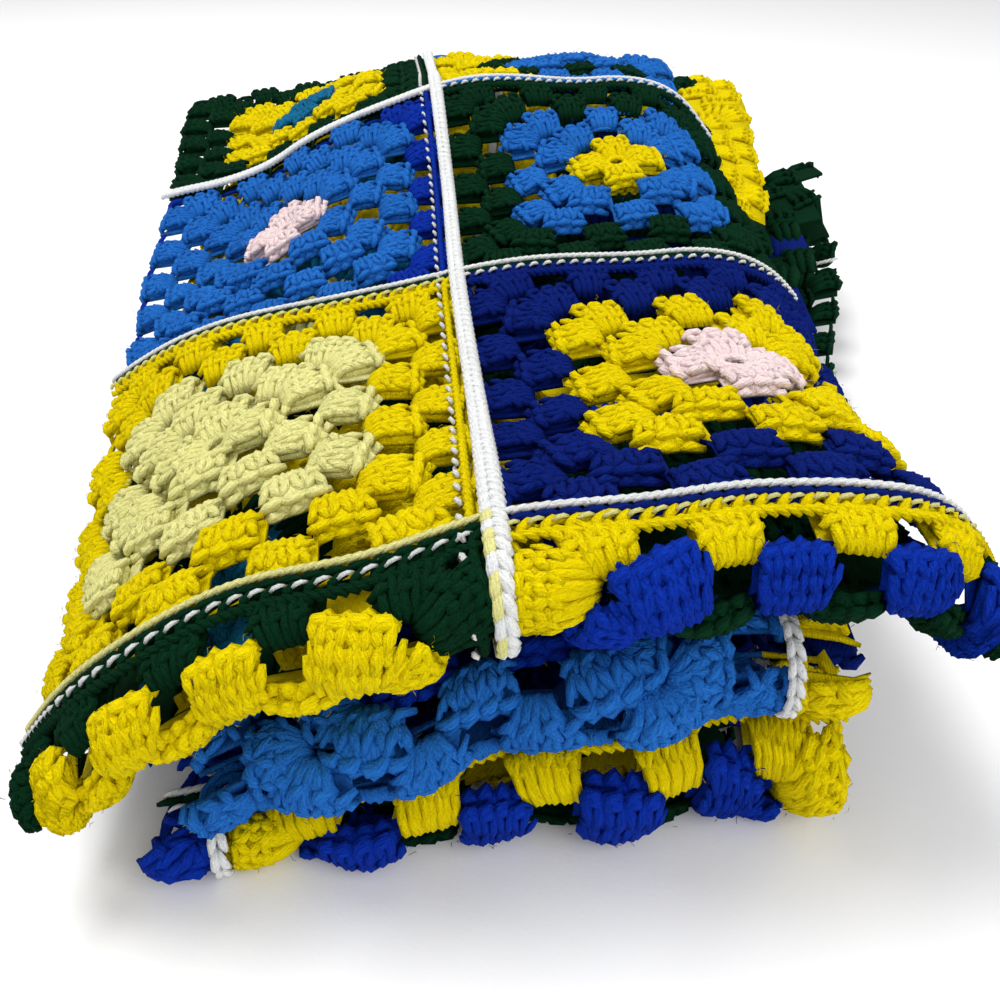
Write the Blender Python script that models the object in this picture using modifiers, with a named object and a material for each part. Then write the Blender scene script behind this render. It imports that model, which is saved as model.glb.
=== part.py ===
"""A folded granny square blanket: one crocheted cloth, folded back and forth into a loose stack.

The cloth is laid out flat as a grid of joined squares, the spaces between its clusters are cut
through, its hidden margins are trimmed, and then it is folded layer over layer and thickened.
Metres, +Z up, front of the stack towards -Y, origin at the middle of the footprint on the floor.
"""

import math

import bmesh
import bpy
from mathutils import Vector

# The crocheted squares
SQUARE = 0.130  # side of one five-round square with its joining seam
ROUNDS = 5  # rounds of clusters about the ring at the centre
ROWS = 18  # pairs of squares along the strip, from the loose end on top to the one underneath
THICKNESS = 0.005  # crochet in double-knitting yarn
SPACE = 0.0095  # side of the open space between clusters

# Which squares are worked fine, with their spaces open, and which lie hidden and stay plain
OPEN_ROWS_BOTH_COLUMNS = (0, 1, 2, 3)  # the top layer and the fold at its front
OPEN_ROW_LEFT_COLUMN = 9  # shows in the middle fold
OPEN_ROW_RIGHT_COLUMN = 15  # shows in the bottom fold
PLAIN_STEPS = 2  # steps along a hidden square
FOLD_STEP = 0.0085  # longest step along the cloth where it turns

# The folded stack
UNDERSIDE = THICKNESS / 2  # height of the middle of the lowest layer
STACK = 0.080  # height of the middle of the top layer at the front
FOLD_BULGE = 1.1  # how far a fold stands out, against half its height
FOLD_SAMPLES = 12  # samples round one fold, for measuring along the cloth
SWELL = 0.0022  # low swells that run through the upper layers
SWELL_ACROSS = 0.105
SWELL_ALONG = 0.135
SWELL_PHASE = 0.8
RUFFLE_PITCH = 0.052  # from one ruffle to the next along a front fold
SAMPLE = 0.004  # step for measuring along the cloth
CUT_TOLERANCE = 0.00001  # a point this near to a trimming line counts as on it

# Each row is a place on one layer, in the order of the cloth. layer, y and z place the line
# between the two columns of squares, and shift is that line's x. spread is the share of the
# full width. The six tilts are the slopes, in degrees, of the inner, middle and outer thirds
# of the left and the right square, falling away from the line where they are negative.
# ruffle is how far the cloth waves to the front and back.
STATION = (
    "layer", "y", "z", "shift", "spread",
    "left_outer", "left_middle", "left_inner",
    "right_inner", "right_middle", "right_outer", "ruffle",
)
STATIONS = (
    (1, 0.532, 0.099, 0.000, 0.97, -3, -14, -7, 0, 0, -6, 0.000),
    (1, 0.405, 0.108, 0.000, 0.95, -6, -38, -10, 6, 4, -50, 0.000),
    (1, 0.345, 0.093, 0.000, 0.93, -11, -30, -9, 3, 4, -42, 0.000),
    (1, 0.275, 0.0795, 0.000, 0.88, -30, -18, -4, 8, 5, -48, 0.000),
    (1, 0.210, 0.0755, 0.000, 0.93, -48, -20, -2, 6, 2, -52, 0.000),
    (1, 0.156, 0.0795, 0.000, 0.90, -52, -26, -7, 8, 4, -62, 0.001),
    (1, 0.138, 0.0785, 0.000, 0.89, -50, -28, -8, 8, 4, -59, 0.0015),
    (2, 0.141, 0.0605, 0.000, 0.86, -50, -28, -8, 8, 4, -59, 0.0015),
    (2, 0.212, 0.0625, 0.000, 0.79, -46, -18, -2, 5, 0, -46, 0.001),
    (2, 0.277, 0.0660, 0.004, 0.83, -28, -14, -3, 4, 0, -38, 0.000),
    (2, 0.405, 0.0785, 0.022, 0.92, -8, -12, -5, 2, 0, -18, 0.000),
    (2, 0.5455, 0.0820, 0.038, 1.00, -8, -10, -4, 0, 2, 2, 0.000),
    (3, 0.5425, 0.0660, 0.048, 1.00, -4, -6, -2, 0, 0, 0, 0.000),
    (3, 0.345, 0.0555, 0.052, 1.00, -6, -5, -1, -2, -4, -6, 0.000),
    (3, 0.212, 0.0525, 0.058, 1.00, -8, -6, -2, -12, -14, -14, 0.001),
    (3, 0.136, 0.0580, 0.060, 1.00, -16, -12, -10, -4, -4, 0, 0.003),
    (4, 0.136, 0.0425, 0.060, 1.00, -12, -12, -10, 0, 0, 0, 0.003),
    (4, 0.277, 0.0350, 0.056, 1.00, -3, -2, -1, -2, -3, -3, 0.000),
    (4, 0.444, 0.0500, 0.068, 1.00, -3, -2, 0, 0, 6, 16, 0.000),
    (5, 0.444, 0.0210, 0.066, 1.00, 0, 0, 0, 0, 4, 14, 0.000),
    (5, 0.277, 0.0195, 0.003, 1.00, 0, 0, 0, 0, 0, 0, 0.000),
    (5, 0.133, 0.0115, -0.052, 1.00, 0, 0, 0, 12, 9, 5, 0.002),
    (6, 0.137, UNDERSIDE, -0.052, 1.00, 0, 0, 0, 0, 0, 0, 0.002),
    (6, 0.277, UNDERSIDE, 0.003, 1.00, 0, 0, 0, 0, 0, 0, 0.000),
    (6, 0.5015, UNDERSIDE, 0.068, 1.00, 0, 0, 0, 0, 0, 0, 0.000),
)

# Where a hidden margin is trimmed: the side, the layer, and how much of the square's width is
# left at the fold that the layer starts from and at the fold or edge where it ends.
MARGIN = ("side", "layer", "width_at_start", "width_at_end")
MARGINS = (
    (1, 3, 0.80, 0.08),
    (1, 4, 0.08, 0.95),
    (-1, 5, 1.00, 0.16),
    (-1, 6, 0.16, 0.90),
)

COLLECTION = "granny square blanket"
NODE = "blanket"


def clear_scene():
    for obj in list(bpy.data.objects):
        bpy.data.objects.remove(obj, do_unlink=True)


def blended(first, second, share):
    """The values of two stations mixed in this share."""
    return {name: first[name] + (second[name] - first[name]) * share for name in first}


def through_layer(stations):
    """Samples along one layer, on a curve that passes through its stations."""
    samples = []
    ends = [stations[0]] + stations + [stations[-1]]
    for i in range(len(stations) - 1):
        before, start, end, after = ends[i : i + 4]
        steps = max(2, round(abs(end["y"] - start["y"]) / SAMPLE))
        for step in range(steps):
            t = step / steps
            rise = t * t * (3 - 2 * t)
            lead = t * (1 - t) * (1 - t) / 2
            trail = t * t * (1 - t) / 2
            sample = blended(start, end, rise)
            sample["y"] = start["y"] + (end["y"] - start["y"]) * t
            for name in sample:
                if name in ("layer", "y"):
                    continue
                sample[name] += lead * (end[name] - before[name])
                sample[name] -= trail * (after[name] - start[name])
            samples.append(sample)
    samples.append(dict(stations[-1]))
    return samples


def round_fold(end, start):
    """Samples round the fold from the end of one layer to the start of the next below it."""
    ahead = -1 if end["layer"] % 2 else 1
    reach = FOLD_BULGE * (end["z"] - start["z"]) / 2
    samples = []
    for turn in range(1, FOLD_SAMPLES):
        angle = math.pi * turn / FOLD_SAMPLES
        sample = blended(end, start, turn / FOLD_SAMPLES)
        sample["layer"] = end["layer"] + 0.5
        sample["y"] += ahead * reach * math.sin(angle)
        sample["z"] = (end["z"] + start["z"]) / 2 + (end["z"] - start["z"]) / 2 * math.cos(angle)
        samples.append(sample)
    return samples


def folded_line():
    """The cloth's middle line, sample by sample, each with its length from the loose end."""
    stations = [dict(zip(STATION, row)) for row in STATIONS]
    layers = sorted({station["layer"] for station in stations})
    line = []
    for layer in layers:
        here = [station for station in stations if station["layer"] == layer]
        if line:
            line += round_fold(line[-1], here[0])
        line += through_layer(here)
    line[0]["along"] = 0.0
    for before, sample in zip(line, line[1:]):
        step = math.hypot(sample["y"] - before["y"], sample["z"] - before["z"])
        sample["along"] = before["along"] + step
    return line


def place_on(line, along):
    """The values of the middle line at this length."""
    low, high = 0, len(line) - 1
    while high - low > 1:
        middle = (low + high) // 2
        if line[middle]["along"] <= along:
            low = middle
        else:
            high = middle
    span = line[high]["along"] - line[low]["along"]
    return blended(line[low], line[high], (along - line[low]["along"]) / span)


def tilt_at(place, side, share):
    """The slope across the cloth, in radians, at this share of the square's width."""
    name = "right" if side > 0 else "left"
    other = "left" if side > 0 else "right"
    at_line = (place[name + "_inner"] - place[other + "_inner"]) / 2
    tilts = (
        (0.0, at_line),
        (1 / 6, place[name + "_inner"]),
        (1 / 2, place[name + "_middle"]),
        (5 / 6, place[name + "_outer"]),
        (1.0, place[name + "_outer"]),
    )
    for (near, first), (far, second) in zip(tilts, tilts[1:]):
        if share <= far:
            break
    return math.radians(first + (second - first) * (share - near) / (far - near))


def across(place, width):
    """How far out and how far up a point lies, this far along the cloth from its middle line."""
    side = 1 if width > 0 else -1
    steps = max(1, round(abs(width) / SAMPLE))
    step = abs(width) / steps
    out, up = 0.0, 0.0
    for i in range(steps):
        tilt = tilt_at(place, side, (i + 0.5) * step / SQUARE)
        out += step * math.cos(tilt)
        up += step * math.sin(tilt)
    return side * out, up


def folded_point(line, stretch, width, length):
    """Where a point of the flat cloth lies in the folded stack."""
    place = place_on(line, length * stretch)
    out, up = across(place, width * place["spread"])
    x = place["shift"] + out
    y = place["y"] + place["ruffle"] * math.cos(2 * math.pi * x / RUFFLE_PITCH)
    z = place["z"] + up
    lift = max(0.0, z - UNDERSIDE) / STACK
    waves_across = math.sin(2 * math.pi * x / SWELL_ACROSS + SWELL_PHASE)
    waves_along = math.cos(2 * math.pi * y / SWELL_ALONG)
    return Vector((x, y, z + SWELL * lift * waves_across * waves_along))


def lines_of_square():
    """The lines that part one square into spaces and clusters, from 0 to SQUARE."""
    bar = (SQUARE - ROUNDS * SPACE) / (ROUNDS + 1)
    lines = [0.0]
    for _ in range(ROUNDS):
        lines.append(lines[-1] + bar)
        lines.append(lines[-1] + SPACE)
    return lines + [SQUARE]


def lines_across():
    fine = lines_of_square()
    return [-width for width in reversed(fine)] + fine[1:]


def is_open_row(row):
    return row in OPEN_ROWS_BOTH_COLUMNS + (OPEN_ROW_LEFT_COLUMN, OPEN_ROW_RIGHT_COLUMN)


def lines_along(line, stretch):
    """The lines across the strip, with more of them where the cloth turns."""
    fine = lines_of_square()
    plain = [SQUARE * step / PLAIN_STEPS for step in range(PLAIN_STEPS)]
    marks = []
    for row in range(ROWS):
        steps = fine[:-1] if is_open_row(row) else plain
        marks += [row * SQUARE + step for step in steps]
    marks.append(ROWS * SQUARE)
    lines = []
    for start, end in zip(marks, marks[1:]):
        places = [place_on(line, length * stretch) for length in (start, (start + end) / 2, end)]
        turning = any(place["layer"] % 1 for place in places)
        steps = math.ceil((end - start) / FOLD_STEP) if turning else 1
        lines += [start + (end - start) * step / steps for step in range(steps)]
    return lines + [marks[-1]]


def layer_ends(line, stretch):
    """The lines across the strip that lie nearest to where each fold turns over."""
    lengths = lines_along(line, stretch)
    ends = [lengths[0]]
    for fold in sorted({sample["layer"] for sample in line if sample["layer"] % 1}):
        here = [sample["along"] for sample in line if sample["layer"] == fold]
        crest = (here[0] + here[-1]) / 2 / stretch
        ends.append(min(lengths, key=lambda length: abs(length - crest)))
    return ends + [lengths[-1]]


def is_space(width, length):
    """True in a space of the second or fourth round, or in the ring at a square's centre."""
    row = int(length // SQUARE)
    if row == OPEN_ROW_LEFT_COLUMN and width > 0:
        return False
    if row == OPEN_ROW_RIGHT_COLUMN and width < 0:
        return False
    if not is_open_row(row):
        return False
    lines = lines_of_square()
    inside = []
    for place in (abs(width), length % SQUARE):
        cell = max(i for i, start in enumerate(lines) if start <= place)
        inside.append(cell % 2 == 1)
    return all(inside)


def flat_cloth(bm, line, stretch):
    """The squares side by side in one flat grid, width along x and length along -y."""
    widths, lengths = lines_across(), lines_along(line, stretch)
    columns, rows = len(widths) - 1, len(lengths) - 1
    bmesh.ops.create_grid(bm, x_segments=columns, y_segments=rows, size=0.5)
    for vert in bm.verts:
        column = round((vert.co.x + 0.5) * columns)
        row = round((0.5 - vert.co.y) * rows)
        vert.co = Vector((widths[column], -lengths[row], 0.0))


def open_spaces(bm):
    spaces = []
    for face in bm.faces:
        middle = face.calc_center_median()
        if is_space(middle.x, -middle.y):
            spaces.append(face)
    bmesh.ops.delete(bm, geom=spaces, context="FACES")


def trim_margins(bm, line, stretch):
    """Cuts each hidden margin off along a straight line in the flat cloth."""
    ends = layer_ends(line, stretch)
    for row in MARGINS:
        margin = dict(zip(MARGIN, row))
        start, end = ends[margin["layer"] - 1], ends[margin["layer"]]
        first = margin["side"] * margin["width_at_start"] * SQUARE
        last = margin["side"] * margin["width_at_end"] * SQUARE
        cut = Vector((last - first, start - end, 0.0))
        outward = Vector((-cut.y, cut.x, 0.0)) * margin["side"]
        faces = [f for f in bm.faces if start < -f.calc_center_median().y < end]
        verts = {v for f in faces for v in f.verts}
        edges = {e for f in faces for e in f.edges}
        bmesh.ops.bisect_plane(
            bm,
            geom=list(verts) + list(edges) + faces,
            dist=CUT_TOLERANCE,
            plane_co=(first, -start, 0.0),
            plane_no=outward,
            clear_outer=True,
        )


def yarn_material():
    material = bpy.data.materials.new("acrylic yarn")
    material.use_nodes = True
    shader = material.node_tree.nodes["Principled BSDF"]
    shader.inputs["Base Color"].default_value = (0.70, 0.58, 0.06, 1.0)
    shader.inputs["Roughness"].default_value = 0.9
    shader.inputs["Metallic"].default_value = 0.0
    return material


def centre_footprint(bm):
    """Puts the middle of the thickened cloth's footprint at x = y = 0."""
    bm.normal_update()
    faces_out = [v.co + v.normal * THICKNESS / 2 for v in bm.verts]
    faces_in = [v.co - v.normal * THICKNESS / 2 for v in bm.verts]
    xs = [point.x for point in faces_out + faces_in]
    ys = [point.y for point in faces_out + faces_in]
    shift = Vector((-(min(xs) + max(xs)) / 2, -(min(ys) + max(ys)) / 2, 0.0))
    bmesh.ops.translate(bm, verts=bm.verts, vec=shift)


def folded_blanket():
    line = folded_line()
    stretch = line[-1]["along"] / (ROWS * SQUARE)
    bm = bmesh.new()
    flat_cloth(bm, line, stretch)
    open_spaces(bm)
    trim_margins(bm, line, stretch)
    loose = [v for v in bm.verts if not v.link_faces]
    bmesh.ops.delete(bm, geom=loose, context="VERTS")
    for vert in bm.verts:
        vert.co = folded_point(line, stretch, vert.co.x, -vert.co.y)
    centre_footprint(bm)
    mesh = bpy.data.meshes.new(NODE)
    bm.to_mesh(mesh)
    bm.free()
    mesh.materials.append(yarn_material())
    blanket = bpy.data.objects.new(NODE, mesh)
    solid = blanket.modifiers.new("yarn thickness", "SOLIDIFY")
    solid.thickness = THICKNESS
    solid.offset = 0.0
    solid.use_even_offset = True
    return blanket


def main():
    clear_scene()
    collection = bpy.data.collections.new(COLLECTION)
    bpy.context.scene.collection.children.link(collection)
    collection.objects.link(folded_blanket())


main()
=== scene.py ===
# %% [markdown]
# # A folded granny square blanket
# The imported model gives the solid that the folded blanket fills. This lesson dresses it in yarn.
# A crochet blanket has no weave to paint: what the eye reads as its surface is thousands of short
# lengths of yarn. Crochet painted on a sheet looks flat at the folds, so the yarn is modelled. It
# is laid out flat, where the pattern is a plain grid, and then every point is folded with the
# same rule that folds the solid.

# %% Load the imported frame
import math

import bmesh
import bpy
import numpy as np
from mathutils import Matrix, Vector


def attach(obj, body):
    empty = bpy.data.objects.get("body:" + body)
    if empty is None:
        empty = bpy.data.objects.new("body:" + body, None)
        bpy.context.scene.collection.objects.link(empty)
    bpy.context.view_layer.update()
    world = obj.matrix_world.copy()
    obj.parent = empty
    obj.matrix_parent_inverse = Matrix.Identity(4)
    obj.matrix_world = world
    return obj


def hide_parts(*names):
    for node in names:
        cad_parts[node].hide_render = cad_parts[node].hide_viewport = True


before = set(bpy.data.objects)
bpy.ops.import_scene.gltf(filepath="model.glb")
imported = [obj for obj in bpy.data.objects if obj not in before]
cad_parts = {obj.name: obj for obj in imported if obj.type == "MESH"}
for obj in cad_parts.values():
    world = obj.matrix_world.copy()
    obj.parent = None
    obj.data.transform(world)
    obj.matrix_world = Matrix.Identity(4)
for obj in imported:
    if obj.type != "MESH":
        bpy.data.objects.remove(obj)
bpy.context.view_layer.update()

# %% [markdown]
# ## The squares
# A granny square grows in rounds from a ring at its centre. Round 1 has one cluster of three
# stitches on each side, round 2 has two, and so on, with a space between clusters and at each
# corner. Laid flat, clusters and spaces alternate like a chessboard of eleven cells a side, so
# one number, the cell, sets the whole pattern.

# %% Measures of the squares, in metres
SQUARE = 0.130  # side of one square with its joining seam
ROUNDS = 5
ROWS = 18  # pairs of squares along the strip
CELL = SQUARE / (2 * ROUNDS + 1)
THICKNESS = 0.005
FLAT_LENGTH = ROWS * SQUARE
print("cell", round(CELL * 1000, 2), "mm")

# %% [markdown]
# ## The fold
# The blanket lies in six layers. Each row of the table is a place on one layer: where the line
# between the two columns of squares runs, how much of the width is spread out there, and how
# the cloth tilts away on each side, in degrees. It is the table that the solid was made from, so
# the yarn lands exactly on the solid. The margins are edges, hidden in the stack, that are cut
# away along a slanting line.

# %% Stations along the cloth
UNDERSIDE = THICKNESS / 2
STACK = 0.080
FOLD_BULGE = 1.1
FOLD_SAMPLES = 12
SWELL = 0.0022
SWELL_ACROSS = 0.105
SWELL_ALONG = 0.135
SWELL_PHASE = 0.8
RUFFLE_PITCH = 0.052
SAMPLE = 0.004

STATION = "layer y z shift spread left_outer left_middle left_inner".split()
STATION += "right_inner right_middle right_outer ruffle".split()
STATIONS = (
    (1, 0.532, 0.099, 0, 0.97, -3, -14, -7, 0, 0, -6, 0),
    (1, 0.405, 0.108, 0, 0.95, -6, -38, -10, 6, 4, -50, 0),
    (1, 0.345, 0.093, 0, 0.93, -11, -30, -9, 3, 4, -42, 0),
    (1, 0.275, 0.0795, 0, 0.88, -30, -18, -4, 8, 5, -48, 0),
    (1, 0.210, 0.0755, 0, 0.93, -48, -20, -2, 6, 2, -52, 0),
    (1, 0.156, 0.0795, 0, 0.90, -52, -26, -7, 8, 4, -62, 0.001),
    (1, 0.138, 0.0785, 0, 0.89, -50, -28, -8, 8, 4, -59, 0.0015),
    (2, 0.141, 0.0605, 0, 0.86, -50, -28, -8, 8, 4, -59, 0.0015),
    (2, 0.212, 0.0625, 0, 0.79, -46, -18, -2, 5, 0, -46, 0.001),
    (2, 0.277, 0.0660, 0.004, 0.83, -28, -14, -3, 4, 0, -38, 0),
    (2, 0.405, 0.0785, 0.022, 0.92, -8, -12, -5, 2, 0, -18, 0),
    (2, 0.5455, 0.0820, 0.038, 1, -8, -10, -4, 0, 2, 2, 0),
    (3, 0.5425, 0.0660, 0.048, 1, -4, -6, -2, 0, 0, 0, 0),
    (3, 0.345, 0.0555, 0.052, 1, -6, -5, -1, -2, -4, -6, 0),
    (3, 0.212, 0.0525, 0.058, 1, -8, -6, -2, -12, -14, -14, 0.001),
    (3, 0.136, 0.0580, 0.060, 1, -16, -12, -10, -4, -4, 0, 0.003),
    (4, 0.136, 0.0425, 0.060, 1, -12, -12, -10, 0, 0, 0, 0.003),
    (4, 0.277, 0.0350, 0.056, 1, -3, -2, -1, -2, -3, -3, 0),
    (4, 0.444, 0.0500, 0.068, 1, -3, -2, 0, 0, 6, 16, 0),
    (5, 0.444, 0.0210, 0.066, 1, 0, 0, 0, 0, 4, 14, 0),
    (5, 0.277, 0.0195, 0.003, 1, 0, 0, 0, 0, 0, 0, 0),
    (5, 0.133, 0.0115, -0.052, 1, 0, 0, 0, 12, 9, 5, 0.002),
    (6, 0.137, UNDERSIDE, -0.052, 1, 0, 0, 0, 0, 0, 0, 0.002),
    (6, 0.277, UNDERSIDE, 0.003, 1, 0, 0, 0, 0, 0, 0, 0),
    (6, 0.5015, UNDERSIDE, 0.068, 1, 0, 0, 0, 0, 0, 0, 0),
)
MARGIN = ("side", "layer", "width_at_start", "width_at_end")
MARGINS = (
    (1, 3, 0.80, 0.08),
    (1, 4, 0.08, 0.95),
    (-1, 5, 1.00, 0.16),
    (-1, 6, 0.16, 0.90),
)

# %% The middle line, sample by sample
def blended(first, second, share):
    return {name: first[name] + (second[name] - first[name]) * share for name in first}


def through_layer(stations):
    """Samples along one layer, on a curve that passes through its stations."""
    samples = []
    ends = [stations[0]] + stations + [stations[-1]]
    for i in range(len(stations) - 1):
        before, start, end, after = ends[i : i + 4]
        steps = max(2, round(abs(end["y"] - start["y"]) / SAMPLE))
        for step in range(steps):
            t = step / steps
            lead = t * (1 - t) * (1 - t) / 2
            trail = t * t * (1 - t) / 2
            sample = blended(start, end, t * t * (3 - 2 * t))
            sample["y"] = start["y"] + (end["y"] - start["y"]) * t
            for name in sample:
                if name in ("layer", "y"):
                    continue
                sample[name] += lead * (end[name] - before[name])
                sample[name] -= trail * (after[name] - start[name])
            samples.append(sample)
    samples.append(dict(stations[-1]))
    return samples


def round_fold(end, start):
    """Samples round the fold from the end of one layer to the start of the next below it."""
    ahead = -1 if end["layer"] % 2 else 1
    reach = FOLD_BULGE * (end["z"] - start["z"]) / 2
    samples = []
    for turn in range(1, FOLD_SAMPLES):
        angle = math.pi * turn / FOLD_SAMPLES
        sample = blended(end, start, turn / FOLD_SAMPLES)
        sample["layer"] = end["layer"] + 0.5
        sample["y"] += ahead * reach * math.sin(angle)
        sample["z"] = (end["z"] + start["z"]) / 2 + (end["z"] - start["z"]) / 2 * math.cos(angle)
        samples.append(sample)
    return samples


def folded_line():
    """The cloth's middle line, each sample with its length from the loose end when laid flat."""
    stations = [dict(zip(STATION, row)) for row in STATIONS]
    line = []
    for layer in sorted({station["layer"] for station in stations}):
        here = [station for station in stations if station["layer"] == layer]
        if line:
            line += round_fold(line[-1], here[0])
        line += through_layer(here)
    line[0]["along"] = 0.0
    for before, sample in zip(line, line[1:]):
        step = math.hypot(sample["y"] - before["y"], sample["z"] - before["z"])
        sample["along"] = before["along"] + step
    stretch = line[-1]["along"] / FLAT_LENGTH
    for sample in line:
        sample["along"] /= stretch
    return line


line = folded_line()
crests = [0.0]
for bend in sorted({sample["layer"] for sample in line if sample["layer"] % 1}):
    here = [sample["along"] for sample in line if sample["layer"] == bend]
    crests.append((here[0] + here[-1]) / 2)
crests.append(FLAT_LENGTH)
print("folds at rows", [round(crest / SQUARE, 2) for crest in crests])

# %% [markdown]
# ## Folding many points at once
# A blanket's yarn has half a million points. Working each one out along the line would be slow,
# so the folded surface is worked out once on a fine grid, and each point looks up the four grid
# places round it. That is the same idea as a lookup table for a sine.

# %% The folded surface on a fine grid
GRID = 0.002  # step of the grid, both ways
OVERHANG = 3  # grid steps past each edge, for yarn that stands out there
KNOTS = (0.0, 1 / 6, 1 / 2, 5 / 6, 1.0)  # where across a square its slopes are given
REST = 0.0010  # yarn lower than this is pressed flatter by the surface that it lies on
PRESSED = 0.15  # share of its depth below that height which is left


def cloth_surface():
    """Places and normals of the folded middle surface, by length and width in the flat cloth."""
    lengths = np.arange(0.0, FLAT_LENGTH + GRID / 2, GRID)
    reach = round(SQUARE / GRID) + OVERHANG
    widths = np.arange(-reach, reach + 1) * GRID
    along = [sample["along"] for sample in line]
    place = {}
    for name in line[0]:
        place[name] = np.interp(lengths, along, [sample[name] for sample in line])[:, None]
    middles = (np.arange(reach + 1) + 0.5) * GRID / SQUARE
    hats = [np.interp(middles, KNOTS, row) for row in np.eye(len(KNOTS))]
    xs, zs = np.zeros((len(lengths), len(widths))), np.zeros((len(lengths), len(widths)))
    for side, name, other in ((-1, "left", "right"), (1, "right", "left")):
        at_line = (place[name + "_inner"] - place[other + "_inner"]) / 2
        slopes = [at_line, place[name + "_inner"], place[name + "_middle"]]
        slopes += [place[name + "_outer"], place[name + "_outer"]]
        tilt = np.radians(sum(slope * hat for slope, hat in zip(slopes, hats)))
        out = np.cumsum(np.cos(tilt), axis=1) * GRID
        up = np.cumsum(np.sin(tilt), axis=1) * GRID
        out, up = [np.hstack([np.zeros((len(lengths), 1)), value]) for value in (out, up)]
        here = np.nonzero(widths * side >= 0)[0]
        steps = np.abs(widths[here])[None, :] * place["spread"] / GRID
        low = steps.astype(int)
        part = steps - low
        rows = np.arange(len(lengths))[:, None]
        xs[:, here] = side * (out[rows, low] * (1 - part) + out[rows, low + 1] * part)
        zs[:, here] = up[rows, low] * (1 - part) + up[rows, low + 1] * part
    xs += place["shift"]
    ys = place["y"] + place["ruffle"] * np.cos(2 * np.pi * xs / RUFFLE_PITCH)
    zs += place["z"]
    waves = np.sin(2 * np.pi * xs / SWELL_ACROSS + SWELL_PHASE) * np.cos(2 * np.pi * ys / SWELL_ALONG)
    zs += SWELL * np.maximum(0.0, zs - UNDERSIDE) / STACK * waves
    surface = np.stack([xs, ys, zs], axis=-1)
    first, last = surface[:1], surface[-1:]
    before = [first - (surface[1:2] - first) * step for step in range(OVERHANG, 0, -1)]
    after = [last + (last - surface[-2:-1]) * step for step in range(1, OVERHANG + 1)]
    surface = np.concatenate(before + [surface] + after)
    normals = np.cross(np.gradient(surface, axis=0), np.gradient(surface, axis=1))
    normals /= np.linalg.norm(normals, axis=-1, keepdims=True)
    return surface, normals


def is_kept(across, along):
    """True where the flat cloth is left, and not a trimmed margin."""
    across, along = np.broadcast_arrays(across, along)
    kept = np.ones(across.shape, bool)
    for row in MARGINS:
        margin = dict(zip(MARGIN, row))
        start, end = crests[margin["layer"] - 1], crests[margin["layer"]]
        share = (along - start) / (end - start)
        growth = margin["width_at_end"] - margin["width_at_start"]
        width = margin["width_at_start"] + growth * share
        inside = (share >= 0) & (share < 1)
        kept = kept & ~(inside & (across * margin["side"] > width * SQUARE))
    return kept


surface, normals = cloth_surface()
reach = surface.shape[1] // 2
flat_across = (np.arange(surface.shape[1]) - reach)[None, :] * GRID
flat_along = (np.arange(surface.shape[0]) - OVERHANG)[:, None] * GRID
on_cloth = is_kept(flat_across, flat_along) & (abs(flat_across) <= SQUARE)
on_cloth &= (flat_along >= 0) & (flat_along <= FLAT_LENGTH)
skin = np.concatenate([(surface + side * normals * THICKNESS / 2)[on_cloth] for side in (-1, 1)])
centre = (skin.min(axis=0) + skin.max(axis=0)) / 2
centre[2] = 0.0
surface -= centre
print("moved to the middle by", centre.round(4))
print("folded cloth", (skin.min(axis=0) - centre).round(4), (skin.max(axis=0) - centre).round(4))


def fold(flat):
    """Folds points of the flat cloth: x across, -y along it from the loose end, z above it."""
    across = np.clip(flat[:, 0] / GRID + reach, 0, surface.shape[1] - 1.001)
    along = np.clip(-flat[:, 1] / GRID + OVERHANG, 0, surface.shape[0] - 1.001)
    i, j = along.astype(int), across.astype(int)
    s, t = (along - i)[:, None], (across - j)[:, None]
    folded = []
    for grid in (surface, normals):
        near = grid[i, j] * (1 - t) + grid[i, j + 1] * t
        far = grid[i + 1, j] * (1 - t) + grid[i + 1, j + 1] * t
        folded.append(near * (1 - s) + far * s)
    places = folded[0] + folded[1] * flat[:, 2:3]
    height = places[:, 2]
    places[:, 2] = np.where(height < REST, REST + (height - REST) * PRESSED, height)
    return places


# %% [markdown]
# ## Shader maths as expressions
# A small class wraps a socket, so a mask can be written as 1 - stripes * 0.5 and the Math nodes
# appear by themselves. Every other node is made by one method that sets the node's settings
# first and then its sockets.

# %% A wrapped socket and a material under construction
class Value:
    """A number that varies over a surface."""

    def __init__(self, finish, socket):
        self.finish = finish
        self.socket = socket

    def maths(self, operation, first, second):
        settings = {"operation": operation}
        return self.finish.node("ShaderNodeMath", settings, {0: first, 1: second})

    def __add__(self, other):
        return self.maths("ADD", self, other)

    def __sub__(self, other):
        return self.maths("SUBTRACT", self, other)

    def __rsub__(self, other):
        return self.maths("SUBTRACT", other, self)

    def __mul__(self, other):
        return self.maths("MULTIPLY", self, other)

    __radd__ = __add__
    __rmul__ = __mul__

    def sine(self):
        return self.maths("SINE", self, 0.0)


class Finish:
    """A material while its nodes are added."""

    def __init__(self, name):
        self.material = bpy.data.materials.new(name)
        self.material.use_nodes = True
        self.tree = self.material.node_tree
        self.shader = self.tree.nodes["Principled BSDF"]

    def node(self, kind, settings, sockets, output=0):
        made = self.tree.nodes.new(kind)
        for name, value in settings.items():
            setattr(made, name, value)
        self.fill(made, sockets)
        return Value(self, made.outputs[output])

    def fill(self, made, sockets):
        for name, value in sockets.items():
            if isinstance(value, Value):
                self.tree.links.new(value.socket, made.inputs[name])
            else:
                made.inputs[name].default_value = value


# %% [markdown]
# ## Yarn
# Double-knitting acrylic is a soft yarn of a few plies. Up close it shows slanting plies, fine
# fibres along them, and a pale fuzz where light grazes it. The plies follow each strand, so the
# material reads the strand's own map: once round across it, and its length along it. The colour
# is painted between each yarn's lit colour and its colour in shade: painted shade in the grooves
# between plies, painted pale specks for the lit fuzz, and the fibres' own uneven tone.

# %% Yarn material
PLIES = 7  # plies and bundles of fibre that show round a strand
PLY_TURN = 0.0160  # length of yarn in which a ply goes once round
MAP_LENGTH = 0.010  # metres of yarn to one unit of the map


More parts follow.
